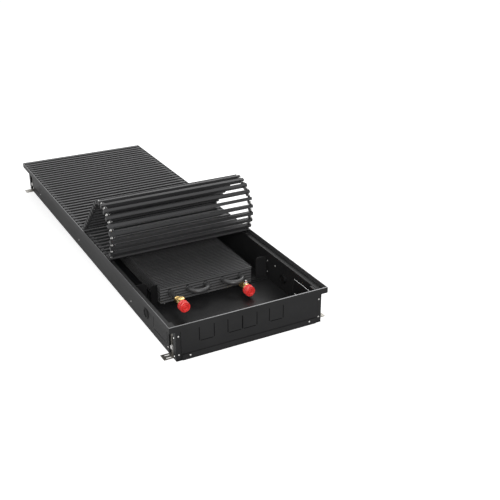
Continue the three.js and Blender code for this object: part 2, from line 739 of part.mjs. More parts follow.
/** Turns at every crease, in radians: the curl, the lean, then straight on. */
function foldTurns() {
  const curl = CURL.map(THREE.MathUtils.degToRad);
  let [total, rise] = [0, 0];
  for (const turn of curl) {
    total += turn;
    rise += BAR_PITCH * Math.sin(total);
  }
  const height = LINK_LEVEL + rise - BAR_TOP;
  const straight = FOLDED_COUNT - curl.length;
  const lean = Math.PI + leanAngle(straight, height) - total;
  return [...curl, lean, ...Array(straight - 1).fill(0)];
}

// ------------------------------------------------------------------ assembly

place("casing_pan", casingPan(), POWDER_COAT);
for (const [endName, end] of Object.entries(ENDS)) {
  place(`end_panel_${endName}`, endPanel(end), POWDER_COAT);
  for (const [sideName, side] of Object.entries(SIDES)) {
    const corner = `${endName}_${sideName}`;
    place(`leg_recess_${corner}`, legRecess(side, end), POWDER_COAT);
    place(`leg_bracket_${corner}`, legBracket(side, end), ZINC);
    place(`clamp_bolt_${corner}`, clampBolt(side, end), ZINC);
  }
}
for (const [sideName, side] of Object.entries(SIDES)) {
  place(`blanking_plug_${sideName}`, blankingPlug(side), BLACK_PLASTIC);
}

place("fin_pack", finPack(), BLACK_FINS);
for (const [i, y] of SADDLE_PLACES.entries()) {
  place(`fin_saddle_${i + 1}`, saddle(y, i === 0), POWDER_COAT);
}
for (let i = 0; i < TUBE_COUNT; i += 1) {
  const end = i % 2 === 0 ? ENDS.far : ENDS.near;
  place(`return_bend_${i + 1}`, returnBend(i, i + 1, end), BLACK_FINS);
}

place("flow_stub", stubTube(FITTINGS.flow), BLACK_FINS);
place("return_stub", stubTube(FITTINGS.return), BLACK_FINS);
place("flow_fitting", fittingBody(FITTINGS.flow), BRASS);
place("return_fitting", fittingBody(FITTINGS.return), BRASS);
place("flow_cap", protectiveCap(FITTINGS.flow), RED_PLASTIC);
place("return_cap", protectiveCap(FITTINGS.return), RED_PLASTIC);

const NECK_PLUG = [
  [0, 0],
  [PLUG_CAP_RADIUS, 0],
  [PLUG_CAP_RADIUS, PLUG_CAP_HEIGHT - 1],
  [PLUG_CAP_RADIUS - 1, PLUG_CAP_HEIGHT],
  [0, PLUG_CAP_HEIGHT],
];
const BLEED_VENT = [
  [0, 0],
  [VENT_RADIUS, 0],
  [VENT_RADIUS, VENT_HEIGHT / 2],
  [VENT_RADIUS - 1, VENT_HEIGHT / 2 + 1],
  [VENT_RADIUS - 1, VENT_HEIGHT - 1],
  [VENT_RADIUS - 2, VENT_HEIGHT],
  [0, VENT_HEIGHT],
];
place("neck_plug", neckPiece(FITTINGS.flow, NECK_PLUG, 12), BRASS);
place("bleed_vent", neckPiece(FITTINGS.return, BLEED_VENT, 8), NICKEL);

place("grille_flat", flatGrille(), ANODISED);

// Each folded bar hangs in a group that turns about the crease before it.
let crease = new THREE.Group();
crease.position.set(0, FOLD_Y, LINK_LEVEL);
convector.add(crease);
foldTurns().forEach((turn, i, turns) => {
  crease.rotation.x = -turn;
  const bar = place(`grille_bar_${i + 1}`, foldedBar(i === turns.length - 1), ANODISED, crease);
  bar.position.y = -BAR_PITCH / 2;
  const next = new THREE.Group();
  next.position.y = -BAR_PITCH;
  crease.add(next);
  crease = next;
});

export default convector;
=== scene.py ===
"""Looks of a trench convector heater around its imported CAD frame.

Metres, in the frame of the part: X across the trench, Y along it (the pipe end is at -Y),
Z up from the casing's underside.
"""

import json
import math

import bmesh
import bpy
from mathutils import Matrix, Vector


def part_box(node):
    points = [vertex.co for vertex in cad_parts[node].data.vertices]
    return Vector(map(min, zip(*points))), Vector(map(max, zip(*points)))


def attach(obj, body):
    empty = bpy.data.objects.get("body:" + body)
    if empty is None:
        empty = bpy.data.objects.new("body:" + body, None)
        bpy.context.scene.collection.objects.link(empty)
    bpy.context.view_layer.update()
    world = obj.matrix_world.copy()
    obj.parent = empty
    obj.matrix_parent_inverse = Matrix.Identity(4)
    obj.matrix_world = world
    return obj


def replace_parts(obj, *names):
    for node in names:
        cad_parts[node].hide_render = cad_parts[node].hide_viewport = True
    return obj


MM = 0.001

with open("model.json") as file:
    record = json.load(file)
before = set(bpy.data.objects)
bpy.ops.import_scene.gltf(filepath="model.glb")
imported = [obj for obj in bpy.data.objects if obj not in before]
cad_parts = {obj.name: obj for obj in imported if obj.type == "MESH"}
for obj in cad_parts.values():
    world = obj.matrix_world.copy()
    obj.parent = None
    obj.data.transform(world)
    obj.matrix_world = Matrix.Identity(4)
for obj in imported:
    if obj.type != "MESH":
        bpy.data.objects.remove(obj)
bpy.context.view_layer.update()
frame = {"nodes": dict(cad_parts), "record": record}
NODES = frame["nodes"]

# ------------------------------------------------------------------ dimensions

SHEET = 1.5 * MM
PAN_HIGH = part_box("casing_pan")[1]
HALF_WIDTH = PAN_HIGH.x
HALF_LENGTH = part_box("end_panel_far")[1].y
RIM_TOP = PAN_HIGH.z
LEDGE_TOP = RIM_TOP - 10.5 * MM  # ledge that carries the grille
WALL_FACE = HALF_WIDTH - 15 * MM
WALL_INSIDE = WALL_FACE - SHEET
STRIP_FACE = 3 * MM  # the end panels' set-back strips lie this far in

FIN_PITCH = 8 * MM
FIN_SHEET = 0.5 * MM
FIN_RIPPLE = 2 * MM  # height of the corrugation
FIN_RIPPLES = 6
RIPPLE_STEPS = 4  # facets of each ripple
FIN_HEM = 3.4 * MM  # top edge folded towards the pipe end
FIN_COLLAR = 1.2 * MM  # collar that each outer fin draws up round a tube
TUBE_RADIUS = 6 * MM
TUBE_PITCH = 48 * MM
TUBE_CENTRE = 3 * MM  # upper row, off the trench's middle line
TUBE_PROUD = 2 * MM  # tube ends beyond the outer fins
UPPER_TUBES = 5
UPPER_HEIGHT = 34 * MM
LOWER_HEIGHT = 20 * MM  # the one tube back to the pipe end
RETURN_SHIFT = 7 * MM  # from the last upper tube to the lower one

BAR_PITCH = 19.7 * MM
FOLDED_BARS = 20
FLAT_BARS = 41
LINK_OUTSIDE = 194 * MM  # outer face of the outer link plates
LINK_INSIDE = 185.7 * MM  # inner face of the inner ones

SIDES = {"left": -1, "right": 1}
ENDS = {"near": -1, "far": 1}


# ------------------------------------------------------------------- materials


def principled(name, color, roughness, metallic=0.0, coat=0.0, specular=0.5):
    """A new material and its shader. One colour all over goes on the shader's socket."""
    material = bpy.data.materials.new(name)
    material.use_nodes = True
    shader = material.node_tree.nodes["Principled BSDF"]
    shader.inputs["Base Color"].default_value = (*color, 1)
    shader.inputs["Roughness"].default_value = roughness
    shader.inputs["Metallic"].default_value = metallic
    shader.inputs["Specular IOR Level"].default_value = specular
    shader.inputs["Coat Weight"].default_value = coat
    shader.inputs["Coat Roughness"].default_value = 0.25
    material.diffuse_color = (*color, 1)
    return material, shader


def texture(material, kind, scale, stretch=(1, 1, 1), **settings):
    """A texture node on object coordinates, stretched along each axis."""
    nodes, links = material.node_tree.nodes, material.node_tree.links
    coordinates = nodes.new("ShaderNodeTexCoord")
    mapping = nodes.new("ShaderNodeMapping")
    mapping.inputs["Scale"].default_value = stretch
    links.new(coordinates.outputs["Object"], mapping.inputs["Vector"])
    node = nodes.new(kind)
    links.new(mapping.outputs["Vector"], node.inputs["Vector"])
    node.inputs["Scale"].default_value = scale
    for key, value in settings.items():
        node.inputs[key].default_value = value
    return node


def factor(node):
    """A texture node's single-value output."""
    for key in ("Fac", "Factor", "Distance"):
        if key in node.outputs:
            return node.outputs[key]
    return node.outputs[0]


def ramp(material, source, low, high, start=0.3, end=0.7):
    """A colour ramp from `low` to `high` over part of the source's range."""
    node = material.node_tree.nodes.new("ShaderNodeValToRGB")
    node.color_ramp.elements[0].position = start
    node.color_ramp.elements[1].position = end
    node.color_ramp.elements[0].color = (*low, 1)
    node.color_ramp.elements[1].color = (*high, 1)
    material.node_tree.links.new(source, node.inputs["Fac"])
    return node.outputs["Color"]


def spread(material, source, low, high):
    """The source's 0..1 range mapped to low..high."""
    node = material.node_tree.nodes.new("ShaderNodeMapRange")
    node.inputs["To Min"].default_value = low
    node.inputs["To Max"].default_value = high
    material.node_tree.links.new(source, node.inputs["Value"])
    return node.outputs["Result"]


def bump(material, shader, source, strength, distance=0.0005):
    """The source as small relief on the shader's normal."""
    node = material.node_tree.nodes.new("ShaderNodeBump")
    node.inputs["Strength"].default_value = strength
    node.inputs["Distance"].default_value = distance
    material.node_tree.links.new(source, node.inputs["Height"])
    material.node_tree.links.new(node.outputs["Normal"], shader.inputs["Normal"])


def powder_coat(name, color, roughness, specular=0.3):
    """Satin powder coat: orange peel, faint dust, uneven gloss."""
    material, shader = principled(name, color, roughness, specular=specular)
    links = material.node_tree.links
    cloud = factor(texture(material, "ShaderNodeTexNoise", 7, Detail=6, Roughness=0.6))
    dusty = tuple(c * 1.35 + 0.004 for c in color)
    links.new(ramp(material, cloud, color, dusty), shader.inputs["Base Color"])
    gloss = spread(material, cloud, roughness - 0.07, roughness + 0.09)
    links.new(gloss, shader.inputs["Roughness"])
    peel = factor(texture(material, "ShaderNodeTexNoise", 900, Detail=3, Roughness=0.5))
    bump(material, shader, peel, 0.22, 0.0002)
    return material


def drawn_metal(name, color, roughness, metallic, grain, specular=0.5):
    """Metal drawn or brushed along X: long fine streaks."""
    material, shader = principled(name, color, roughness, metallic, specular=specular)
    links = material.node_tree.links
    streaks = factor(
        texture(material, "ShaderNodeTexNoise", 260, (0.02, 1, 1), Detail=5, Roughness=0.65)
    )
    lighter = tuple(c * (1 + grain) for c in color)
    links.new(ramp(material, streaks, color, lighter), shader.inputs["Base Color"])
    gloss = spread(material, streaks, roughness - 0.06, roughness + 0.1)
    links.new(gloss, shader.inputs["Roughness"])
    bump(material, shader, streaks, 0.12, 0.0002)
    return material


def spangled_zinc(name, color, roughness):
    """Galvanised sheet: crystal facets that differ in tone, under small scratches."""
    material, shader = principled(name, color, roughness, 0.85)
    links = material.node_tree.links
    facets = texture(material, "ShaderNodeTexVoronoi", 220, Randomness=1.0)
    tones = ramp(material, facets.outputs["Color"], tuple(c * 0.7 for c in color), color, 0.1, 0.9)
    links.new(tones, shader.inputs["Base Color"])
    scratches = factor(texture(material, "ShaderNodeTexNoise", 500, (1, 0.08, 1), Detail=4))
    gloss = spread(material, scratches, roughness - 0.1, roughness + 0.15)
    links.new(gloss, shader.inputs["Roughness"])
    bump(material, shader, scratches, 0.15, 0.0002)
    return material


def turned_metal(name, color, roughness, tarnish):
    """Turned brass or nickel: fine tool marks, and tarnish in clouds."""
    material, shader = principled(name, color, roughness, 1.0)
    links = material.node_tree.links
    cloud = factor(texture(material, "ShaderNodeTexNoise", 130, Detail=5, Roughness=0.7))
    links.new(ramp(material, cloud, tarnish, color, 0.3, 0.55), shader.inputs["Base Color"])
    gloss = spread(material, cloud, roughness + 0.12, roughness - 0.04)
    links.new(gloss, shader.inputs["Roughness"])
    marks = factor(texture(material, "ShaderNodeTexNoise", 900, (0.1, 1, 1), Detail=2))
    bump(material, shader, marks, 0.1, 0.0002)
    return material


def moulded(name, color, roughness, coat=0.0, specular=0.5):
    """Moulded plastic: a slight grain and flow marks."""
    material, shader = principled(name, color, roughness, 0, coat, specular)
    links = material.node_tree.links
    flow = factor(texture(material, "ShaderNodeTexNoise", 60, Detail=3))
    paler = tuple(min(1, c * 1.12 + 0.003) for c in color)
    links.new(ramp(material, flow, color, paler), shader.inputs["Base Color"])
    gloss = spread(material, flow, roughness - 0.05, roughness + 0.08)
    links.new(gloss, shader.inputs["Roughness"])
    grain = factor(texture(material, "ShaderNodeTexNoise", 1500, Detail=2))
    bump(material, shader, grain, 0.12, 0.0001)
    return material


PAN_COAT = powder_coat("pan_coat", (0.010, 0.010, 0.0104), 0.42, 0.17)
GRILLE_METAL = drawn_metal("grille_metal", (0.034, 0.034, 0.035), 0.44, 0.35, 0.5, 0.3)
# Pale metal of the rim's edge strip: partly a painted highlight along the rim's edges
TRIM_AND_HIGHLIGHT_METAL = drawn_metal("trim_and_highlight_metal", (0.16, 0.16, 0.163), 0.32, 0.8, 0.3)
FIN_METAL = drawn_metal("fin_metal", (0.05, 0.05, 0.051), 0.42, 0.4, 0.5)
TUBE_METAL = powder_coat("tube_metal", (0.045, 0.045, 0.046), 0.3, 0.5)
ZINC = spangled_zinc("zinc", (0.34, 0.325, 0.295), 0.36)
BRIGHT_ZINC = spangled_zinc("bright_zinc", (0.8, 0.79, 0.77), 0.26)
BRASS = turned_metal("brass", (0.97, 0.71, 0.30), 0.28, (0.80, 0.52, 0.18))
NICKEL = turned_metal("nickel", (0.86, 0.86, 0.84), 0.16, (0.66, 0.66, 0.64))
RED_PLASTIC = moulded("red_plastic", (0.92, 0.055, 0.05), 0.24, 0.5)
BLACK_PLASTIC = moulded("black_plastic", (0.006, 0.006, 0.0063), 0.5, specular=0.15)
# Matte near-black for the strips in the knockout kerfs: painted shade in the slits
PAINTED_KERF_SHADE = moulded("painted_kerf_shade", (0.004, 0.004, 0.0042), 0.85, specular=0.05)

LOOKS = {
    "casing_pan": PAN_COAT,
    "end_panel": PAN_COAT,
    "leg_recess": PAN_COAT,
    "fin_saddle": PAN_COAT,
    "leg_bracket": ZINC,
    "grille": GRILLE_METAL,
}

SLOT_LOOKS = {
    "pan": PAN_COAT,
    "fins": FIN_METAL,
    "tube": TUBE_METAL,
    "grille": GRILLE_METAL,
    "zinc": BRIGHT_ZINC,
    "brass": BRASS,
    "nickel": NICKEL,
    "red": RED_PLASTIC,
    "black_plastic": BLACK_PLASTIC,
}


def dress(node, material):
    """One look all over a CAD node."""
    mesh = NODES[node].data
    mesh.materials.clear()
    mesh.materials.append(material)


for node in NODES:
    for prefix, material in LOOKS.items():
        if node.startswith(prefix):
            dress(node, material)


# ---------------------------------------------------------------- mesh helpers


def piece(name, mesh, slot, body="casing", material=None, smooth=35):
    """A mesh becomes a piece of the scene: its look, its body and its smoothing."""
    obj = bpy.data.objects.new(name, mesh)
    bpy.context.scene.collection.objects.link(obj)
    mesh.materials.clear()
    mesh.materials.append(material or SLOT_LOOKS[slot])
    if smooth:
        mesh.shade_smooth()
        mesh.set_sharp_from_angle(angle=math.radians(smooth))
    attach(obj, body)
    return obj


def mesh_from(name, build):
    """A mesh that `build(bm)` fills in."""
    bm = bmesh.new()
    build(bm)
    bmesh.ops.remove_doubles(bm, verts=bm.verts, dist=1e-6)
    bmesh.ops.recalc_face_normals(bm, faces=bm.faces)
    mesh = bpy.data.meshes.new(name)
    bm.to_mesh(mesh)
    bm.free()
    return mesh


def ring_points(place, radius, sides, turn=0.0):
    """A ring of points about the local Z axis, put in place by a matrix."""
    points = []
    for i in range(sides):
        angle = turn + 2 * math.pi * i / sides
        points.append(place @ Vector((radius * math.cos(angle), radius * math.sin(angle), 0)))
    return points


def skin(bm, rings, close_start=True, close_end=True):
    """Quads between rings of equal count, with the two ends closed."""
    made = [[bm.verts.new(p) for p in ring] for ring in rings]
    for a, b in zip(made, made[1:]):
        count = len(a)
        for i in range(count):
            bm.faces.new((a[i], a[(i + 1) % count], b[(i + 1) % count], b[i]))
    if close_start:
        bm.faces.new(made[0][::-1])
    if close_end:
        bm.faces.new(made[-1])


def axis_place(origin, axis):
    """The matrix that puts local Z along `axis` at `origin`."""
    turn = Vector((0, 0, 1)).rotation_difference(Vector(axis))
    return Matrix.Translation(origin) @ turn.to_matrix().to_4x4()


def lathe(bm, place, profile, sides=40, turn=0.0):
    """A closed turned form. The profile is (radius, height) pairs; a radius of 0 closes it."""
    rings = []
    for radius, height in profile:
        level = place @ Matrix.Translation((0, 0, height))
        rings.append(ring_points(level, max(radius, 1e-6), sides, turn))
    skin(bm, rings)


def tube_along(bm, points, radius, sides=20):
    """A round tube along points, its section carried along without twist."""
    rings = []
    normal = None
    for i, point in enumerate(points):
        ahead = points[min(i + 1, len(points) - 1)] - points[max(i - 1, 0)]
        ahead.normalize()
        if normal is None:
            normal = ahead.orthogonal().normalized()
        normal = (normal - ahead * normal.dot(ahead)).normalized()
        side = ahead.cross(normal)
        ring = []
        for k in range(sides):
            angle = 2 * math.pi * k / sides
            ring.append(point + radius * (math.cos(angle) * normal + math.sin(angle) * side))
        rings.append(ring)
    skin(bm, rings)


def middle(node):
    """The middle of a CAD node's box."""
    low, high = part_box(node)
    return (low + high) / 2


# ------------------------------------------------------------- heat exchanger

FIN_LOW, FIN_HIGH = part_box("fin_pack")


def upper_tube(i):
    """X of an upper tube, counted from the left."""
    return TUBE_CENTRE + (i - (UPPER_TUBES - 1) / 2) * TUBE_PITCH


TUBES = [(upper_tube(i), UPPER_HEIGHT) for i in range(UPPER_TUBES)]
TUBES.append((upper_tube(UPPER_TUBES - 1) - RETURN_SHIFT, LOWER_HEIGHT))
FIN_NEAR = FIN_LOW.y + TUBE_PROUD
FIN_FAR = FIN_HIGH.y - TUBE_PROUD


def fin(bm, y):
    """One plate fin: rippled from its foot to its top edge, which is folded over."""
    steps = FIN_RIPPLES * RIPPLE_STEPS
    rise = FIN_HIGH.z - FIN_SHEET - FIN_LOW.z
    rows = []
    for i in range(steps + 1):
        wave = FIN_RIPPLE * (0.5 - 0.5 * math.cos(2 * math.pi * i / RIPPLE_STEPS))
        rows.append((y + wave, FIN_LOW.z + rise * i / steps))
    rows.append((y - FIN_HEM, FIN_HIGH.z - FIN_SHEET))
    back = [(a + FIN_SHEET, z) for a, z in rows[:-1]]
    back[-1] = (back[-1][0], FIN_HIGH.z)
    back.append((y - FIN_HEM, FIN_HIGH.z))
    ends = []
    for x in (FIN_LOW.x, FIN_HIGH.x):
        ends.append([[bm.verts.new((x, a, z)) for a, z in side] for side in (rows, back)])
    for i in range(len(rows) - 1):
        for side in (0, 1):
            left, right = ends[0][side], ends[1][side]
            bm.faces.new((left[i], left[i + 1], right[i + 1], right[i]))
        for front, rear in ends:
            bm.faces.new((front[i], front[i + 1], rear[i + 1], rear[i]))
    for i in (0, -1):
        bm.faces.new((ends[0][0][i], ends[1][0][i], ends[1][1][i], ends[0][1][i]))


def fin_stack(bm):
    """All the fins, and the tubes through them with a collar at each outer fin."""
    first = FIN_NEAR + FIN_HEM
    room = FIN_FAR - FIN_SHEET - FIN_RIPPLE - first
    count = round(room / FIN_PITCH)
    for i in range(count + 1):
        fin(bm, first + i * room / count)
    length = FIN_HIGH.y - FIN_LOW.y
    far = length - TUBE_PROUD
    collar = TUBE_RADIUS + FIN_COLLAR
    profile = [(0, 0), (TUBE_RADIUS, 0), (TUBE_RADIUS, TUBE_PROUD - FIN_COLLAR)]
    profile += [(collar, TUBE_PROUD - FIN_COLLAR / 2), (TUBE_RADIUS, TUBE_PROUD + FIN_COLLAR)]
    profile += [(TUBE_RADIUS, far - FIN_COLLAR), (collar, far + FIN_COLLAR / 2)]
    profile += [(TUBE_RADIUS, far + FIN_COLLAR), (TUBE_RADIUS, length), (0, length)]
    for x, z in TUBES:
        lathe(bm, axis_place((x, FIN_LOW.y, z), (0, 1, 0)), profile, 24)


exchanger = piece("fin_stack", mesh_from("fin_stack", fin_stack), "fins", smooth=50)
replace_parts(exchanger, "fin_pack")


def hairpin(start, end, y, outward, straight=2 * MM, steps=20):
    """Points of a return bend between two tube ends at Y."""
    a, b = Vector((start[0], y, start[1])), Vector((end[0], y, end[1]))
    radius = (b - a).length / 2
    out = Vector((0, outward, 0))
    points = [a]
    for i in range(steps + 1):
        angle = math.pi * i / steps
        along = a.lerp(b, (1 - math.cos(angle)) / 2)
        points.append(along + out * (straight + radius * math.sin(angle)))
    points.append(b)
    return points


for i in range(UPPER_TUBES):
    node = f"return_bend_{i + 1}"
    low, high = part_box(node)
    outward = 1 if i % 2 == 0 else -1
    root = low.y if outward > 0 else high.y
    path = hairpin(TUBES[i], TUBES[i + 1], root, outward)
    mesh = mesh_from(node, lambda bm: tube_along(bm, path, TUBE_RADIUS))
    bend = piece(f"bend_{i + 1}", mesh, "tube")
    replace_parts(bend, node)

for side in ("flow", "return"):
    node = f"{side}_stub"
    low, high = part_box(node)
    centre = middle(node)
    length = high.y - low.y

    def stub(bm):
        """Short tube with a solder bead where it leaves the fitting's collar."""
        place = axis_place((centre.x, low.y, centre.z), (0, 1, 0))
        bead = 1.1 * MM
        profile = [(0, 0), (TUBE_RADIUS + bead, 0), (TUBE_RADIUS + bead * 0.6, 1.5 * bead)]
        profile += [(TUBE_RADIUS, 2.5 * bead), (TUBE_RADIUS, length), (0, length)]
        lathe(bm, place, profile, 24)

    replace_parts(piece(f"{side}_pipe", mesh_from(node, stub), "tube"), node)


# --------------------------------------------------------------- pipe fittings

FITTING_AXIS = 10.5 * MM  # above the fitting's lowest point
NIPPLE_LENGTH = 10 * MM
NIPPLE_RADIUS = 9.4 * MM
HEXAGON_FLATS = 21.5 * MM
HEXAGON_LENGTH = 6.8 * MM
HEXAGON_CHAMFER = 0.8 * MM
WAIST_RADIUS = 9.4 * MM
COLLAR_RADIUS = 7.4 * MM
COLLAR_BEAD = 8 * MM
NECK_FROM_FRONT = 9.5 * MM  # neck's axis behind the nipple
NECK_RADIUS = 5.6 * MM
NECK_BEAD = 6.4 * MM

# Front of a cap, from its middle to its edge: share of the radius, and mm below the front
CAP_FACE = [(0, 0.6), (0.2, 0.7), (0.27, 1.2), (0.3, 2.6), (0.42, 2.6), (0.46, 0.8)]
CAP_FACE += [(0.52, 0), (0.6, 0.2), (0.66, 1.2), (0.68, 2.2), (0.78, 2.2), (0.82, 1.1)]
CAP_FACE += [(0.9, 0.7), (0.96, 1.2), (0.985, 2), (0.95, 3)]
CAP_WALL = 3 * MM
CAP_FRONT = 3.5 * MM  # thickness behind the face
CAP_RIBS = 24


def threads(radius, start, end, pitch=1.4 * MM, depth=0.5 * MM):
    """Profile points of a thread, as rings."""
    count = int((end - start) / pitch)
    points = []
    for i in range(count):
        foot = start + i * pitch
        points.append((radius - depth, foot))
        points += [(radius, foot + pitch * 0.35), (radius, foot + pitch * 0.65)]
    points.append((radius - depth, start + count * pitch))
    return points


def fitting(bm, node):
    """Threaded nipple, hexagon, waist and solder collar, with an upright neck."""
    low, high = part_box(node)
    x = (low.x + high.x) / 2
    z = low.z + FITTING_AXIS
    place = axis_place((x, low.y, z), (0, 1, 0))
    length = high.y - low.y
    body = NIPPLE_LENGTH
    nipple = [(0, 0), (8.2 * MM, 0)] + threads(NIPPLE_RADIUS, 0.8 * MM, body)
    lathe(bm, place, nipple + [(8.6 * MM, body), (0, body)], 36)
    corner = HEXAGON_FLATS / math.sqrt(3)
    rear = body + HEXAGON_LENGTH
    hexagon = [(0, body), (corner * 0.93, body), (corner, body + HEXAGON_CHAMFER)]
    hexagon += [(corner, rear - HEXAGON_CHAMFER), (corner * 0.93, rear), (0, rear)]
    lathe(bm, place, hexagon, 6, math.pi / 6)
    start = rear - HEXAGON_CHAMFER
    waist = [(0, start), (WAIST_RADIUS, start), (WAIST_RADIUS, body + 14 * MM)]
    waist += [(COLLAR_RADIUS, body + 16 * MM), (COLLAR_RADIUS, length - 4 * MM)]
    waist += [(COLLAR_BEAD, length - 3.4 * MM), (COLLAR_BEAD, length - 0.6 * MM)]
    lathe(bm, place, waist + [(COLLAR_RADIUS, length), (0, length)], 36)
    neck = axis_place((x, low.y + body + NECK_FROM_FRONT, z), (0, 0, 1))
    top = high.z - z
    profile = [(0, 0), (NECK_RADIUS, 0), (NECK_RADIUS, top - 2 * MM)]
    profile += [(NECK_BEAD, top - 1.4 * MM), (NECK_BEAD, top), (0, top)]
    lathe(bm, neck, profile, 28)


def cap(bm, node):
    """Push-on cap: ribbed skirt, and a face with a dished hub and two raised rings."""
    low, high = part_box(node)
    centre = middle(node)
    place = axis_place((centre.x, high.y, centre.z), (0, -1, 0))
    depth = high.y - low.y
    radius = (high.x - low.x) / 2
    skirt = radius * 0.93
    outside = [(radius * share, depth - sunk * MM) for share, sunk in CAP_FACE]
    outside += [(skirt, 2.4 * MM), (radius, 1.8 * MM), (radius, 0)]
    bore, floor = radius - CAP_WALL, depth - CAP_FRONT
    inside = [(bore, 0), (bore, floor), (0, floor)]
    lathe(bm, place, outside + inside, 48)
    rib = [(0, 0), (0.75 * MM, 0), (0.75 * MM, depth - 5 * MM)]
    rib += [(0.3 * MM, depth - 4.4 * MM), (0, depth - 4.4 * MM)]
    for i in range(CAP_RIBS):
        turn = place @ Matrix.Rotation(2 * math.pi * i / CAP_RIBS, 4, "Z")
        lathe(bm, turn @ Matrix.Translation((skirt, 0, 2.2 * MM)), rib, 8)


for side in ("flow", "return"):
    node = f"{side}_fitting"
    mesh = mesh_from(node, lambda bm: fitting(bm, node))
    made = piece(f"{side}_union", mesh, "brass", smooth=30)
    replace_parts(made, node)
    node = f"{side}_cap"
    mesh = mesh_from(node, lambda bm: cap(bm, node))
    made = piece(f"{side}_red_cap", mesh, "red", f"{side}_cap", smooth=40)
    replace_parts(made, node)


def neck_plug(bm):
    """Brass cap nut with a low domed crown."""
    low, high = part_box("neck_plug")
    centre = middle("neck_plug")
    place = axis_place((centre.x, centre.y, low.z), (0, 0, 1))
    height = high.z - low.z
    radius = (high.x - low.x) / 2
    profile = [(0, 0), (radius * 0.96, 0), (radius, 0.5 * MM), (radius, height * 0.55)]
    profile += [(radius * 0.94, height * 0.7), (radius * 0.84, height * 0.84)]
    profile += [(radius * 0.74, height * 0.92), (radius * 0.5, height), (0, height)]
    lathe(bm, place, profile, 40)


def bleed_vent(bm):
    """Nickel vent: hexagon foot, turned stem, square key head."""
    low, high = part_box("bleed_vent")
    centre = middle("bleed_vent")
    place = axis_place((centre.x, centre.y, low.z), (0, 0, 1))
    height = high.z - low.z
    foot = [(0, 0), (4.6 * MM, 0), (5 * MM, 0.5 * MM), (5 * MM, 2.6 * MM)]
    lathe(bm, place, foot + [(4.6 * MM, 3.1 * MM), (0, 3.1 * MM)], 6)
    stem = [(0, 3 * MM), (4.1 * MM, 3 * MM), (4.1 * MM, 5 * MM), (3.4 * MM, 5.6 * MM)]
    lathe(bm, place, stem + [(0, 5.6 * MM)], 28)
    key = [(0, 5.5 * MM), (3.5 * MM, 5.5 * MM), (3.5 * MM, height - 0.5 * MM)]
    lathe(bm, place, key + [(3 * MM, height), (0, height)], 4, math.pi / 4)


made = piece("neck_cap_nut", mesh_from("neck_plug", neck_plug), "brass", "neck_plug", smooth=30)
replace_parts(made, "neck_plug")
made = piece("air_vent", mesh_from("bleed_vent", bleed_vent), "nickel", "bleed_vent", smooth=30)
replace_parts(made, "bleed_vent")


# ------------------------------------------------------------ plugs and bolts

PLUG_FLANGE = 3.25 * MM  # flange beyond the spigot
BOLT_HEAD = 3 * MM
BOLT_CORNER = 5.75 * MM
BOLT_RADIUS = 3 * MM
WASHER_SHEET = 1.2 * MM
WASHER_RADIUS = 6.3 * MM


def blanking_plug(bm, node, side):
    """Hollow spigot through the wall, and a flange outside it round a sunk middle."""
    low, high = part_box(node)
    centre = middle(node)
    inner = low.x if side > 0 else high.x
    outer = high.x if side > 0 else low.x
    depth = abs(outer - inner)
    place = axis_place((inner, centre.y, centre.z), (side, 0, 0))
    flange = (high.z - low.z) / 2
    spigot = flange - PLUG_FLANGE
    face = depth - 1.6 * MM
    profile = [(0, 1.5 * MM), (spigot - 2 * MM, 1.5 * MM), (spigot - 2 * MM, 0), (spigot, 0)]
    profile += [(spigot, depth - 2.2 * MM), (flange, depth - 2.2 * MM), (flange - 0.3 * MM, face)]
    profile += [(spigot + 0.8 * MM, depth - 0.5 * MM), (spigot - 0.8 * MM, depth)]
    profile += [(spigot - 2.2 * MM, depth - 0.6 * MM), (spigot - 3.2 * MM, face - 0.4 * MM)]
    profile.append((0, face - 0.4 * MM))
    lathe(bm, place, profile, 48)


for name, side in SIDES.items():
    node = f"blanking_plug_{name}"
    mesh = mesh_from(node, lambda bm: blanking_plug(bm, node, side))
    made = piece(f"wall_plug_{name}", mesh, "black_plastic")
    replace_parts(made, node)


def clamp_bolt(bm, node, side):
    """Hexagon bolt with a chamfered head, a washer and a threaded tip."""
    low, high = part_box(node)
    centre = middle(node)
    inner = low.x if side > 0 else high.x
    place = axis_place((inner, centre.y, centre.z), (side, 0, 0))
    length = high.x - low.x
    foot = length - BOLT_HEAD
    shank = foot - WASHER_SHEET
    screw = [(0, 0), (2.4 * MM, 0)] + threads(BOLT_RADIUS, 0.6 * MM, shank, 1 * MM, 0.35 * MM)
    lathe(bm, place, screw + [(2.8 * MM, shank), (0, shank)], 24)
    washer = [(0, shank), (WASHER_RADIUS, shank), (WASHER_RADIUS + 0.1 * MM, shank + 0.3 * MM)]
    lathe(bm, place, washer + [(WASHER_RADIUS, foot), (0, foot)], 36)
    head = [(0, foot), (BOLT_CORNER, foot), (BOLT_CORNER, length - 0.8 * MM)]
    lathe(bm, place, head + [(BOLT_CORNER * 0.86, length), (0, length)], 6)


for end in ENDS:
    for name, side in SIDES.items():
        node = f"clamp_bolt_{end}_{name}"
        mesh = mesh_from(node, lambda bm: clamp_bolt(bm, node, side))
        made = piece(f"leg_bolt_{end}_{name}", mesh, "zinc", smooth=30)
        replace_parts(made, node)


# ---------------------------------------------------------- screws and rivets

SCREW_RADIUS = 2.1 * MM
SCREW_HEIGHT = 1.2 * MM
SCREW_SIDES = 24
SADDLES = ("fin_saddle_1", "fin_saddle_2", "fin_saddle_3")

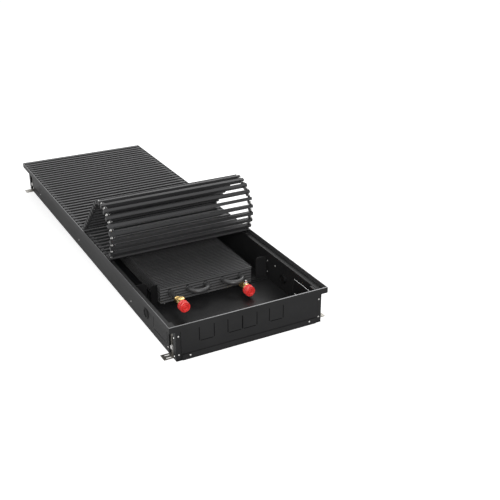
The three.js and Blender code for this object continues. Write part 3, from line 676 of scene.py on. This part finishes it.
# Places: X from the middle line, insets from the casing's end, heights above the underside
STRIP_SCREW_X = 178 * MM
STRIP_SCREW_HEIGHTS = (14.8 * MM, 60.8 * MM)
LIP_SCREW_X = 152 * MM
LIP_SCREW_HEIGHT = 9 * MM
FLANGE_SCREW_INSET = 12 * MM
FLANGE_SCREW_HEIGHTS = (8.5 * MM, 55 * MM)
RECESS_SCREW_INSET = 46 * MM
RECESS_SCREW_HEIGHTS = (14 * MM, 62 * MM)
SADDLE_RIVET_STEP = 8 * MM  # along the trench, from the saddle's middle
OUTER_RIVET_HEIGHT = 20 * MM
INNER_RIVET_HEIGHTS = (20.5 * MM, 51 * MM)
LONE_RIVET_INSET = 217.5 * MM
LONE_RIVET_HEIGHT = 52 * MM
FOOT_SCREW_INSET = 12 * MM  # from the side of the fins
FOOT_SCREW_STEP = 12.2 * MM  # along the trench, from the saddle's middle
FOOT_TOP = 3.25 * MM


def screw_head(bm, at, axis, radius=SCREW_RADIUS, height=SCREW_HEIGHT):
    """Low domed head with a cross recess."""
    place = axis_place(at, axis)
    arm, half, depth = radius * 0.62, radius * 0.15, height * 0.55
    sides = SCREW_SIDES
    rings = []
    for r, h in ((radius, 0), (radius * 0.97, height * 0.45), (radius * 0.8, height * 0.85)):
        level = place @ Matrix.Translation((0, 0, h))
        rings.append([bm.verts.new(p) for p in ring_points(level, r, sides)])
    for a, b in zip(rings, rings[1:]):
        for i in range(sides):
            j = (i + 1) % sides
            bm.faces.new((a[i], a[j], b[j], b[i]))
    cross = [(arm, -half), (arm, half), (half, half), (half, arm), (-half, arm), (-half, half)]
    cross += [(-x, -y) for x, y in cross]
    top = [bm.verts.new(place @ Vector((x, y, height))) for x, y in cross]
    sunk = [bm.verts.new(place @ Vector((x * 0.8, y * 0.8, height - depth))) for x, y in cross]
    edges = [bm.edges.new((top[i], top[(i + 1) % 12])) for i in range(12)]
    outer = [bm.edges.get((rings[-1][i], rings[-1][(i + 1) % sides])) for i in range(sides)]
    bmesh.ops.triangle_fill(bm, use_beauty=True, edges=edges + outer)
    stray = [f for f in bm.faces if len(f.verts) == 3 and all(v in top for v in f.verts)]
    bmesh.ops.delete(bm, geom=stray, context="FACES_ONLY")
    for i in range(12):
        bm.faces.new((top[i], top[(i + 1) % 12], sunk[(i + 1) % 12], sunk[i]))
    bm.faces.new(sunk)
    bm.faces.new(rings[0][::-1])


def rivet_head(bm, at, axis, radius=1.9 * MM, height=0.9 * MM):
    """Domed rivet with the dimple of its drawn pin."""
    place = axis_place(at, axis)
    profile = [(0, 0), (radius, 0), (radius * 0.95, height * 0.5), (radius * 0.7, height * 0.9)]
    profile += [(radius * 0.38, height), (radius * 0.34, height * 0.6), (0, height * 0.6)]
    lathe(bm, place, profile, 20)


def end_screws(bm, sign):
    """Screws of an end panel: on its two strips, in the lip and in the side flanges."""
    end = sign * HALF_LENGTH
    for side in SIDES.values():
        for z in STRIP_SCREW_HEIGHTS:
            screw_head(bm, (side * STRIP_SCREW_X, end - sign * STRIP_FACE, z), (0, sign, 0))
        at = (side * LIP_SCREW_X, end, LIP_SCREW_HEIGHT)
        screw_head(bm, at, (0, sign, 0), 2.2 * MM, 0.9 * MM)
        for z in FLANGE_SCREW_HEIGHTS:
            at = (side * WALL_FACE, end - sign * FLANGE_SCREW_INSET, z)
            screw_head(bm, at, (side, 0, 0), 2 * MM)


def wall_rivets(bm):
    """Rivets and screws along both side walls, outside and inside."""
    for side in SIDES.values():
        for sign in ENDS.values():
            for z in RECESS_SCREW_HEIGHTS:
                y = sign * (HALF_LENGTH - RECESS_SCREW_INSET)
                screw_head(bm, (side * WALL_FACE, y, z), (side, 0, 0))
        for saddle in SADDLES:
            y = middle(saddle).y
            at = (side * WALL_FACE, y + SADDLE_RIVET_STEP, OUTER_RIVET_HEIGHT)
            rivet_head(bm, at, (side, 0, 0))
            for z in INNER_RIVET_HEIGHTS:
                at = (side * WALL_INSIDE, y - SADDLE_RIVET_STEP, z)
                rivet_head(bm, at, (-side, 0, 0), 2.2 * MM)
        at = (side * WALL_INSIDE, LONE_RIVET_INSET - HALF_LENGTH, LONE_RIVET_HEIGHT)
        rivet_head(bm, at, (-side, 0, 0), 2.4 * MM)


def saddle_screws(bm):
    """Two screws through each foot of each saddle into the floor."""
    for saddle in SADDLES:
        y = middle(saddle).y
        for x in (FIN_LOW.x + FOOT_SCREW_INSET, FIN_HIGH.x - FOOT_SCREW_INSET):
            for step in (-FOOT_SCREW_STEP, FOOT_SCREW_STEP):
                screw_head(bm, (x, y + step, FOOT_TOP), (0, 0, 1), 2.2 * MM, 1 * MM)


for end, sign in ENDS.items():
    mesh = mesh_from("end_screws", lambda bm: end_screws(bm, sign))
    piece(f"end_screws_{end}", mesh, "zinc", smooth=30)
piece("wall_rivets", mesh_from("wall_rivets", wall_rivets), "zinc", smooth=30)
piece("saddle_screws", mesh_from("saddle_screws", saddle_screws), "zinc", smooth=30)


# ---------------------------------------------------- small folded sheet pieces

RECESS_NEAR = 16.25 * MM  # the recess's two ends, from the casing's end
RECESS_FAR = 42.25 * MM
RECESS_BACK = 177 * MM  # from the middle line
RECESS_TOP = 75.75 * MM
LID_SHEET = 1 * MM
BAFFLE_EDGE = 146.5 * MM  # from the middle line
BAFFLE_TOP = 63 * MM
BAFFLE_ROUND = 9 * MM
BAFFLE_FOOT = 9 * MM
SEAT = 0.3 * MM  # gap to the floor and to the wall
EDGE_SOFTENING = 0.15 * MM


def plate(bm, outline, start, end, place):
    """A flat sheet with softened edges: its outline skinned from one face to the other."""
    centre = Vector((sum(a for a, _ in outline), sum(b for _, b in outline))) / len(outline)
    rings = []
    edge = EDGE_SOFTENING
    for depth, inset in ((start, edge), (start + edge, 0), (end - edge, 0), (end, edge)):
        ring = []
        for a, b in outline:
            point = Vector((a, b))
            point += (centre - point).normalized() * inset
            ring.append(place(point.x, point.y, depth))
        rings.append(ring)
    skin(bm, rings)


def recess_lid(bm, side, sign):
    """The folded top of a leg recess, under the grille ledge."""
    near, far = HALF_LENGTH - RECESS_NEAR, HALF_LENGTH - RECESS_FAR
    outline = [(RECESS_BACK, near), (RECESS_BACK, far), (WALL_INSIDE, far), (WALL_INSIDE, near)]
    top = RECESS_TOP + LID_SHEET
    plate(bm, outline, RECESS_TOP, top, lambda x, y, z: Vector((side * x, sign * y, z)))


def left_baffle(bm):
    """Upright plate between the left wall and the fins, beside the first saddle, on a foot."""
    y = middle("fin_saddle_1").y
    corner = []
    for i in range(7):
        angle = math.pi / 2 * i / 6
        x = -BAFFLE_EDGE - BAFFLE_ROUND + BAFFLE_ROUND * math.cos(angle)
        corner.append((x, BAFFLE_TOP - BAFFLE_ROUND + BAFFLE_ROUND * math.sin(angle)))
    foot = SHEET + SEAT
    wall = -WALL_INSIDE + SEAT
    outline = [(wall, foot), (-BAFFLE_EDGE, foot)] + corner + [(wall, BAFFLE_TOP)]
    plate(bm, outline, y - SHEET / 2, y + SHEET / 2, lambda x, z, d: Vector((x, d, z)))
    sole = [(wall, y - BAFFLE_FOOT), (-BAFFLE_EDGE, y - BAFFLE_FOOT), (-BAFFLE_EDGE, y), (wall, y)]
    plate(bm, sole, foot, foot + SHEET, lambda x, d, z: Vector((x, d, z)))


for end, sign in ENDS.items():
    for name, side in SIDES.items():
        lid = mesh_from("recess_lid", lambda bm: recess_lid(bm, side, sign))
        piece(f"recess_lid_{end}_{name}", lid, "pan", smooth=20)
piece("baffle_left", mesh_from("baffle_left", left_baffle), "pan", smooth=25)


# -------------------------------------------------- painted shade in the knockout kerfs of the ends

KNOCKOUT_SIZE = 36 * MM
KNOCKOUT_SILL = 39 * MM
KNOCKOUT_TIE = 3 * MM  # metal left at each end of a slit
KERF = 1.9 * MM
KERF_DROP = 1 * MM  # the sill's slit lies under the knockout
# The dark strips in the kerfs are painted shade
KERF_SUNK = 0.1 * MM  # bead behind the panel's face
KNOCKOUT_CENTRES = (-111 * MM, -41.5 * MM, -4.5 * MM, 63.5 * MM)


def kerf_shade_strip(bm, start, end, outward):
    """A sunk dark strip along a kerf, from start to end, hollow towards `outward`: painted shade
    in the slit.
    """
    along = (end - start).normalized()
    across = along.cross(outward)
    section = [(-0.5, 0), (-0.25, -0.12), (0.25, -0.12), (0.5, 0), (0.5, -0.6), (-0.5, -0.6)]
    rings = []
    for point in (start, end):
        rings.append([point + across * (a * KERF) + outward * (d * KERF) for a, d in section])
    skin(bm, rings)


def kerf_shade_strips(bm, sign):
    """Painted shade in the kerfs: dark strips down both sides of each square knockout of an end
    panel, and along its sill.
    """
    outward = Vector((0, sign, 0))
    y = sign * (HALF_LENGTH - SHEET - KERF_SUNK)
    half = KNOCKOUT_SIZE / 2
    for x in KNOCKOUT_CENTRES:
        for edge in (x - half, x + half):
            low, high = KNOCKOUT_SILL, KNOCKOUT_SILL + KNOCKOUT_SIZE - KNOCKOUT_TIE
            kerf_shade_strip(bm, Vector((edge, y, low)), Vector((edge, y, high)), outward)
        level = KNOCKOUT_SILL - KERF_DROP
        reach = half - KNOCKOUT_TIE
        kerf_shade_strip(bm, Vector((x - reach, y, level)), Vector((x + reach, y, level)), outward)


# Dark strips in the kerfs of both ends: painted shade in the slits
for end, sign in ENDS.items():
    shade_strips = mesh_from("kerf_shade_strips", lambda bm: kerf_shade_strips(bm, sign))
    piece(f"kerf_shade_strips_{end}", shade_strips, "black_plastic", material=PAINTED_KERF_SHADE, smooth=0)


# ------------------------------------------------------- edge strip and links

TRIM_SHEET = 0.3 * MM
TRIM_CROWN = 0.35 * MM  # above the rim
END_RIM = 2 * SHEET  # two sheets thick at the ends
PIN_RADIUS = 1.3 * MM
PIN_HEAD = 1.9 * MM
CLIP_INSIDE = 3.25 * MM  # round the link plates
CLIP_OUTSIDE = 3.7 * MM


def edge_strip(bm):
    """Thin anodised strip over the rim's edge and down its inner face, mitred at corners; its pale
    tone is partly a painted highlight along the rim's edges.
    """
    crown = RIM_TOP + TRIM_CROWN
    skin_share = 1 + TRIM_SHEET / SHEET
    profile = [(0, RIM_TOP), (0.12, crown), (0.9, crown), (skin_share, RIM_TOP - 0.2 * MM)]
    profile += [(skin_share, LEDGE_TOP + 0.1 * MM), (1, LEDGE_TOP + 0.1 * MM), (1, RIM_TOP)]
    loops = []
    for x_sign, y_sign in ((-1, -1), (1, -1), (1, 1), (-1, 1)):
        corner = []
        for share, z in profile:
            inward = share * SHEET
            along = inward * END_RIM / SHEET if share <= 1 else END_RIM + TRIM_SHEET
            corner.append((x_sign * (HALF_WIDTH - inward), y_sign * (HALF_LENGTH - along), z))
        loops.append([bm.verts.new(p) for p in corner])
    for a, b in zip(loops, loops[1:] + loops[:1]):
        for i in range(len(a)):
            j = (i + 1) % len(a)
            bm.faces.new((a[i], a[j], b[j], b[i]))


# Pale strip on the rim: partly a painted highlight along its edges
piece("edge_strip", mesh_from("edge_strip", edge_strip), "grille", material=TRIM_AND_HIGHLIGHT_METAL, smooth=20)


def knuckle_pin(bm, side, y, z, clipped):
    """Headed pin through the two link plates of a knuckle, and the spring clip round it."""
    place = axis_place((side * (LINK_INSIDE - 1 * MM), y, z), (side, 0, 0))
    length = LINK_OUTSIDE - LINK_INSIDE + 1 * MM
    profile = [(0, 0), (PIN_HEAD, 0), (PIN_HEAD, 0.7 * MM), (PIN_RADIUS, 0.9 * MM)]
    profile += [(PIN_RADIUS, length), (2.3 * MM, length), (2.2 * MM, length + 0.5 * MM)]
    lathe(bm, place, profile + [(1.2 * MM, length + 0.9 * MM), (0, length + 0.9 * MM)], 16)
    if not clipped:
        return
    start, end = length - 3.4 * MM, length - 0.8 * MM
    band = [(CLIP_INSIDE, start), (CLIP_OUTSIDE, start), (CLIP_OUTSIDE, end), (CLIP_INSIDE, end)]
    band.append(band[0])
    rings = [ring_points(place @ Matrix.Translation((0, 0, h)), r, 28) for r, h in band]
    skin(bm, rings, close_start=False, close_end=False)


def knuckle_places():
    """Each body's knuckles at rest, as (y, z): creases first, then the straight runs."""
    joints = frame["record"]["behaviour"]["joints"]
    creases = [j for j in joints if j["name"].startswith("crease_")]
    places = {j["child"]: [(j["pos_m"][1], j["pos_m"][2])] for j in creases}
    lean = math.radians(sum(j["range_deg"][1] for j in creases))
    slope = places[creases[-1]["child"]]
    y, z = slope[0]
    for i in range(1, FOLDED_BARS - len(creases) + 1):
        step = i * BAR_PITCH
        slope.append((y - step * math.cos(lean), z + step * math.sin(lean)))
    y, z = places[creases[0]["child"]][0]
    places["grille"] = [(y + i * BAR_PITCH, z) for i in range(1, FLAT_BARS)]
    return places


for body, places in knuckle_places().items():

    def pins(bm):
        """Pins of one body at both sides, clipped on the folded part."""
        for y, z in places:
            for side in SIDES.values():
                knuckle_pin(bm, side, y, z, body != "grille")

    piece(f"link_pins_{body}", mesh_from("link_pins", pins), "zinc", body, smooth=30)


# ---------------------------------------------------------------------- stage

CAMERA_AT = (-0.77605, -2.03543, 0.99434)
CAMERA_HEADING = 28.2369  # clockwise from +Y, in degrees
CAMERA_DOWN = 25.16
CAMERA_LENS = 60.472
SENSOR = 36

FLOOR_REACH = 12.0
FLOOR_DROP = 0.2 * MM
FLOOR_SHADE = 0.9
FLOOR_GLOW = 0.6  # lifts the lit floor to white for the camera
MIRRORED_GLOW = 0.12  # and in reflections
WORLD_WHITE = 1.0
WORLD_LIGHT = 0.45

camera_data = bpy.data.cameras.new("camera")
camera_data.sensor_width = SENSOR
camera_data.lens = CAMERA_LENS
camera = bpy.data.objects.new("camera", camera_data)
bpy.context.scene.collection.objects.link(camera)
camera.location = CAMERA_AT
camera.rotation_euler = (math.radians(90 - CAMERA_DOWN), 0, math.radians(-CAMERA_HEADING))
bpy.context.scene.camera = camera


def background_rays(nodes, links):
    """1 for the rays that should see a plain white background, 0 for the light it gives."""
    path = nodes.new("ShaderNodeLightPath")
    seen = path.outputs["Is Camera Ray"]
    for kind in ("Is Glossy Ray", "Is Transmission Ray"):
        either = nodes.new("ShaderNodeMath")
        either.operation = "MAXIMUM"
        links.new(seen, either.inputs[0])
        links.new(path.outputs[kind], either.inputs[1])
        seen = either.outputs[0]
    return seen


def white_floor(name, shade, glow, mirrored_glow):
    """Matte near-white that keeps the object's shadow, lifted to white where it is seen."""
    material, shader = principled(name, (shade, shade, shade), 0.9, specular=0.1)
    nodes, links = material.node_tree.nodes, material.node_tree.links
    speck = factor(texture(material, "ShaderNodeTexNoise", 30, Detail=2))
    bump(material, shader, speck, 0.02)
    mirrored = nodes.new("ShaderNodeMath")
    mirrored.operation = "MULTIPLY"
    mirrored.inputs[1].default_value = mirrored_glow
    links.new(background_rays(nodes, links), mirrored.inputs[0])
    direct = nodes.new("ShaderNodeMath")
    direct.operation = "MULTIPLY_ADD"
    direct.inputs[1].default_value = glow - mirrored_glow
    links.new(nodes.new("ShaderNodeLightPath").outputs["Is Camera Ray"], direct.inputs[0])
    links.new(mirrored.outputs[0], direct.inputs[2])
    shader.inputs["Emission Color"].default_value = (1, 1, 1, 1)
    links.new(direct.outputs[0], shader.inputs["Emission Strength"])
    return material


floor_mesh = bpy.data.meshes.new("floor")
corners = [(x * FLOOR_REACH, y * FLOOR_REACH, 0) for x, y in ((-1, -1), (1, -1), (1, 1), (-1, 1))]
floor_mesh.from_pydata(corners, [], [(0, 1, 2, 3)])
floor = bpy.data.objects.new("floor", floor_mesh)
bpy.context.scene.collection.objects.link(floor)
floor.location.z = -FLOOR_DROP
floor_mesh.materials.append(white_floor("floor_white", FLOOR_SHADE, FLOOR_GLOW, MIRRORED_GLOW))


def studio_world(white, light):
    """White to the camera and in reflections, a softer level for the light it gives."""
    world = bpy.data.worlds.new("studio")
    bpy.context.scene.world = world
    world.use_nodes = True
    nodes, links = world.node_tree.nodes, world.node_tree.links
    background = nodes["Background"]
    background.inputs["Color"].default_value = (1, 1, 1, 1)
    strength = nodes.new("ShaderNodeMapRange")
    strength.inputs["To Min"].default_value = light
    strength.inputs["To Max"].default_value = white
    links.new(background_rays(nodes, links), strength.inputs["Value"])
    links.new(strength.outputs["Result"], background.inputs["Strength"])


studio_world(WORLD_WHITE, WORLD_LIGHT)


def soft_box(name, at, target, size, power):
    """A rectangular area lamp that points at the target."""
    light = bpy.data.lights.new(name, "AREA")
    light.shape = "RECTANGLE"
    light.size, light.size_y = size
    light.energy = power
    lamp = bpy.data.objects.new(name, light)
    bpy.context.scene.collection.objects.link(lamp)
    lamp.location = at
    lamp.rotation_euler = (Vector(target) - Vector(at)).to_track_quat("-Z", "Y").to_euler()


soft_box("key", (1.5, 1.1, 2.4), (0, 0, 0), (1.6, 2.2), 28)
soft_box("back", (1.4, 2.9, 1.5), (0, 0, 0), (2.6, 1.2), 12)
soft_box("front", (-1.0, -2.8, 1.5), (0, -0.3, 0), (2.0, 1.2), 52)

bpy.context.scene.view_settings.view_transform = "Standard"
